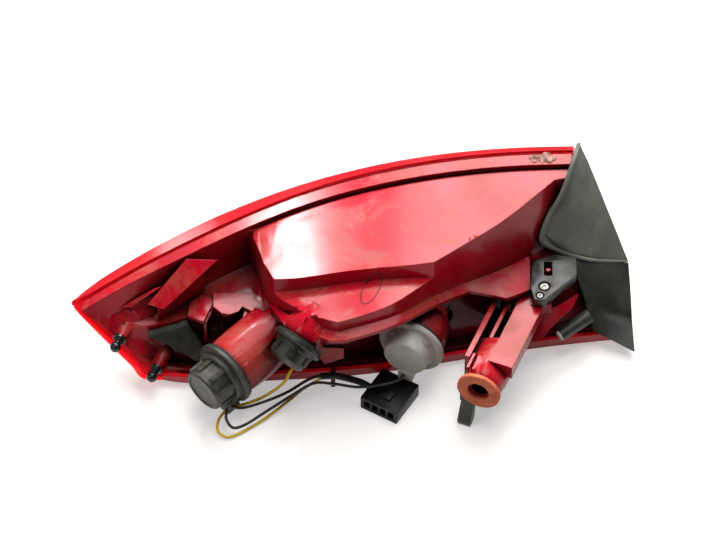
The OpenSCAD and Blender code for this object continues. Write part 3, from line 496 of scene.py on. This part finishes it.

# Welded rim of the lens along the low side of the tip, its bright edge a painted glow
rim = {"radius": 1.9, "proud": 0.8, "taper": 0.6, "steps": 6, "reach": 2.2, "blunt": -189.5,
       "blunting": 0.75, "stations": [-191, -186, -178, -170, -161, -152, -143, -134]}
lensPoints = [vertex.co for vertex in bpy.data.objects["crimson_lens"].data.vertices]
bodyStart = fromBody(0, 0, 0)
bodyAxis = (fromBody(1, 0, 0) - bodyStart).normalized()
for place in lensPoints:
    past = (place - bodyStart).dot(bodyAxis) - rim["blunt"] * mm
    if past < 0:
        place -= rim["blunting"] * past * bodyAxis
places = []
for station in rim["stations"]:
    near = [p for p in lensPoints if abs((p - bodyStart).dot(bodyAxis) - station * mm) < rim["reach"] * mm]
    lowest = min(near, key=lambda p: p.dot(viewUp))
    places.append(lowest + viewUp * rim["proud"] * mm + toCamera * rim["proud"] * mm)
rimEdge = roundLine("lens_rim_edge", smoothPath(places, rim["steps"]), rim["radius"], "lens_rim",
                    rim["taper"])
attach(rimEdge, "root")
print("housing, lens and trim panels")

# Moulded pieces with softened edges, radius in mm
rounded = {"holder_left": 0.5, "holder_mid": 0.45, "holder_right": 0.4, "connector": 0.5, "boss_clip": 0.5,
           "trim_bracket": 0.5, "boss_washer": 0.4}
softening = {"flat": 1, "edge": 38, "smooth": 35, "segments": 2}
for name, radius in rounded.items():
    piece = joined(name, name + "_moulded")
    flat = piece.modifiers.new("flat", "DECIMATE")
    flat.decimate_type = "DISSOLVE"
    flat.angle_limit = radians(softening["flat"])
    soft = piece.modifiers.new("soft", "BEVEL")
    soft.width = radius * mm
    soft.segments = softening["segments"]
    soft.limit_method = "ANGLE"
    soft.angle_limit = radians(softening["edge"])
    applyModifiers(piece)
    smoothBy(piece.data, softening["smooth"])
    stands(piece, name)
print("moulded pieces")

# Wires: the same routes as the model's, listed in mm of the drawing
wires = {
    "wire_yellow_short": {"diameter": 2, "end": "object", "route": [
        (-24.6, -57, 36.3), (-26, -61.5, 33.5), (-27.5, -64, 28.5), (-33, -67, 20.5), (-41, -72, 13.5),
        (-49.5, -78.5, 10.5), (-55.9, -83.9, 10.4)]},
    "wire_yellow_long": {"diameter": 2, "end": "object", "route": [
        (-60.7, -88.4, 9.1), (-62.5, -95, 7.5), (-61.5, -101, 5), (-57, -104, 3), (-50, -101, 2),
        (-38, -83, 2), (-27, -63, 5), (-20, -53, 10), (-10, -45.8, 17.8)]},
    "wire_black": {"diameter": 2, "end": "object", "route": [
        (-59.3, -89.2, 11.4), (-57.5, -95, 9.5), (-51.5, -98, 6.5), (-45, -92, 6), (-36, -77, 7),
        (-25, -61.5, 10.3), (-13, -52, 18), (0, -48, 19), (16, -44.5, 19), (30, -37, 19.5), (38, -30, 19.5),
        (40, -24, 19.5)]},
    "wire_brown": {"diameter": 2, "end": "object", "route": [
        (-56.8, -86.1, 12.6), (-50, -85, 13), (-40, -75, 12), (-28, -62, 13), (-18, -50, 17),
        (-10, -44.6, 19.8)]},
    "harness_sleeve": {"diameter": 4.6, "end": "connector", "route": [
        (-10, -45, 19), (-3, -40, 17), (4, -35, 12), (12, -30.6, 6.6), (19.9, -31.8, 6)]},
}


def pathLength(path):
    return sum((b - a).length for a, b in zip(path, path[1:]))


wireSteps = 6
cordPieces = {}
for name, spec in wires.items():
    path = smoothPath([fromDrawing(*p) for p in spec["route"]], wireSteps)
    lead = roundLine(name + "_lead", path, spec["diameter"] / 2, slotOf[name])
    stands(lead, name)
    print(name, "length", round(pathLength(path), 4))
    cordPieces[name] = (lead, path)
for name, (lead, path) in cordPieces.items():
    spec = wires[name]
print("wires")

# Foam pad: the solid's form with crowned faces, cut from a soft sheet, with lumps about 4 mm apart
pad = {"voxel": 0.9, "rub": 0.5, "rubs": 6, "lump": 0.35, "lumpScale": 260, "swell": 0.1, "smooth": 80}
foam = joined("foam_pad", "foam_block")
fine = foam.modifiers.new("cells", "REMESH")
fine.mode = "VOXEL"
fine.voxel_size = pad["voxel"] * mm
rub = foam.modifiers.new("worn", "SMOOTH")
rub.factor = pad["rub"]
rub.iterations = pad["rubs"]
applyModifiers(foam)
for vertex in foam.data.vertices:
    lump = pad["lump"] * mm * noise.noise(vertex.co * pad["lumpScale"])
    vertex.co += vertex.normal * (lump + pad["swell"] * mm)
smoothBy(foam.data, pad["smooth"])
foam.data.materials.clear()
foam.data.materials.append(materials["foam_dark"])
stands(foam, "foam_pad")
print("foam pad")


# Things that lie on the housing are found by looking from the camera through a point of the photograph
def rayTree(piece):
    shape = bmesh.new()
    shape.from_mesh(piece.data)
    tree = BVHTree.FromBMesh(shape)
    shape.free()
    return tree


housingTree = rayTree(housing)
lensTree = rayTree(bpy.data.objects["crimson_lens"])


# Place and normal of what shows at a point of the photograph
def underPixel(x, y, tree=housingTree):
    across = (x - photo["width"] / 2) / photo["pixelsPerMm"] * mm
    rise = (photo["height"] / 2 - y) / photo["pixelsPerMm"] * mm
    start = target + viewRight * across + viewUp * rise + toCamera
    return tree.ray_cast(start, -toCamera)[:2]


# A pen line drawn by hand round a place on the shelf: its oval in pixels, the line's radius in mm
penMark = {"centre": (371, 288), "across": 7.5, "along": 17, "lean": radians(28), "radius": 0.32,
           "points": 40}
ring = []
for k in range(penMark["points"]):
    turn = 2 * pi * k / penMark["points"]
    u, v = penMark["across"] * cos(turn), penMark["along"] * sin(turn)
    c, s = cos(penMark["lean"]), sin(penMark["lean"])
    place = underPixel(penMark["centre"][0] + u * c + v * s, penMark["centre"][1] + u * s - v * c)[0]
    if place:
        ring.append(place)
oval = roundLine("pen_oval", ring, penMark["radius"], "pen_mark", closed=True, facets=1)
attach(oval, "root")

# Blobs of old hot glue on the band near the trim: place in the photograph, and radius in mm
glueSpots = {"spots": [(530, 158, 2.2), (533, 160, 3.0), (537, 157, 2.4), (541, 160, 3.4), (546, 157, 4.0),
                       (549, 160, 3.6), (553, 159, 2.0)],
             "narrow": 0.8, "flat": 0.32, "lump": 1.1, "lumpScale": 420, "seed": 11, "smooth": 80}
glue = bmesh.new()
for x, y, radius in glueSpots["spots"]:
    place, normal = underPixel(x, y)
    turn = normal.to_track_quat("Z", "Y").to_matrix().to_4x4()
    narrow, flat = radius * glueSpots["narrow"], radius * glueSpots["flat"]
    shape = Matrix.Translation(place) @ turn @ Matrix.Diagonal((radius * mm, narrow * mm, flat * mm, 1))
    bmesh.ops.create_icosphere(glue, subdivisions=3, radius=1.0, matrix=shape)
noise.seed_set(glueSpots["seed"])
for vertex in glue.verts:
    vertex.co += noise.noise_vector(vertex.co * glueSpots["lumpScale"]) * glueSpots["lump"] * mm
glueMesh = bpy.data.meshes.new("glue_blobs")
glue.to_mesh(glueMesh)
glue.free()
glueMesh.materials.append(materials["glue_brown"])
smoothBy(glueMesh, glueSpots["smooth"])
blobs = placed("glue_blobs", glueMesh)
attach(blobs, "root")
print("marks on the housing")

# Table, light and background; sizes in metres
tableSpec = {"reach": 6, "rough": 0.9, "lift": 0.42, "unseen": (0.3, 0.29, 0.28, 1),
             "seen": (0.8, 0.77, 0.75, 1)}
floorLevel = min(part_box(name)[0].z for name in nodes)
table = bmesh.new()
bmesh.ops.create_grid(table, x_segments=1, y_segments=1, size=tableSpec["reach"],
                      matrix=Matrix.Translation((0, 0, floorLevel)))
tableMesh = bpy.data.meshes.new("table")
table.to_mesh(tableMesh)
table.free()
tableTop = placed("table", tableMesh)
paper = bpy.data.materials.new("white_paper")
paper.use_nodes = True
paperShader = paper.node_tree.nodes["Principled BSDF"]
paperShader.inputs["Roughness"].default_value = tableSpec["rough"]
paperShader.inputs["Emission Color"].default_value = (1, 1, 1, 1)
sheet = paper.node_tree
toEye = seenRays(sheet)
lift = addNode(sheet, "Math", {0: toEye, 1: tableSpec["lift"]}, operation="MULTIPLY")
tone = addNode(sheet, "Mix", {0: toEye, 6: tableSpec["unseen"], 7: tableSpec["seen"]}, data_type="RGBA")
sheet.links.new(lift.outputs[0], paperShader.inputs["Emission Strength"])
sheet.links.new(tone.outputs[2], paperShader.inputs["Base Color"])
tableMesh.materials.append(paper)

world = bpy.data.worlds.new("studio")
scene.world = world
world.use_nodes = True
sky = world.node_tree
sky.nodes.clear()
direction = addNode(sky, "TexCoord").outputs["Generated"]
# The room is bright above and behind the object and dim in front of it
room = {"brightest": (-0.3, 0.62, 0.72), "dim": 0.03, "bright": 0.45, "unseen": 0.7}
facing = addNode(sky, "VectorMath", {0: direction, 1: room["brightest"]}, operation="DOT_PRODUCT")
brightSide = addNode(sky, "MapRange", {"Value": facing.outputs["Value"], "From Min": -0.1, "From Max": 0.9,
                                       "To Min": room["dim"], "To Max": room["bright"]})
level = addNode(sky, "MapRange", {"Value": seenRays(sky), "To Min": room["unseen"], "To Max": 1.0})
strength = addNode(sky, "Math", {0: brightSide.outputs[0], 1: level.outputs[0]}, operation="MULTIPLY")
light = addNode(sky, "Background", {"Color": (1, 0.99, 0.98, 1), "Strength": strength.outputs[0]})
addNode(sky, "OutputWorld", {"Surface": light.outputs[0]})

# Places in metres from the object's middle, powers in watts
lamps = {
    "behind": {"from": (-0.25, 1.15, 1.5), "size": (0.9, 0.6), "power": 26},
    "over": {"from": (0.1, 0.3, 1.8), "size": (1.2, 1.2), "power": 20},
    "front": {"from": (-0.9, -1.4, 1.3), "size": (0.8, 0.8), "power": 7},
}
# Windows that are mirrored as white patches: at the high end of the plateau, and along the lens
windows = {"window": {"at": (281, 250), "tree": housingTree, "size": (0.11, 0.16), "power": 7.5},
           "skylight": {"at": (168, 243), "tree": lensTree, "size": (0.12, 0.09), "power": 0.3}}
windowDistance = 1.7
for name, spec in windows.items():
    place, normal = underPixel(*spec["at"], spec["tree"])
    mirrored = 2 * toCamera.dot(normal) * normal - toCamera
    source = tuple(place - target + mirrored * windowDistance)
    lamps[name] = {"from": source, "size": spec["size"], "power": spec["power"]}
for name, spec in lamps.items():
    lampData = bpy.data.lights.new(name, "AREA")
    lampData.shape = "RECTANGLE"
    lampData.size, lampData.size_y = spec["size"]
    lampData.energy = spec["power"]
    lamp = placed(name, lampData)
    lamp.location = target + Vector(spec["from"])
    lamp.rotation_euler = (-Vector(spec["from"])).to_track_quat("-Z", "Y").to_euler()
print("table and lights")
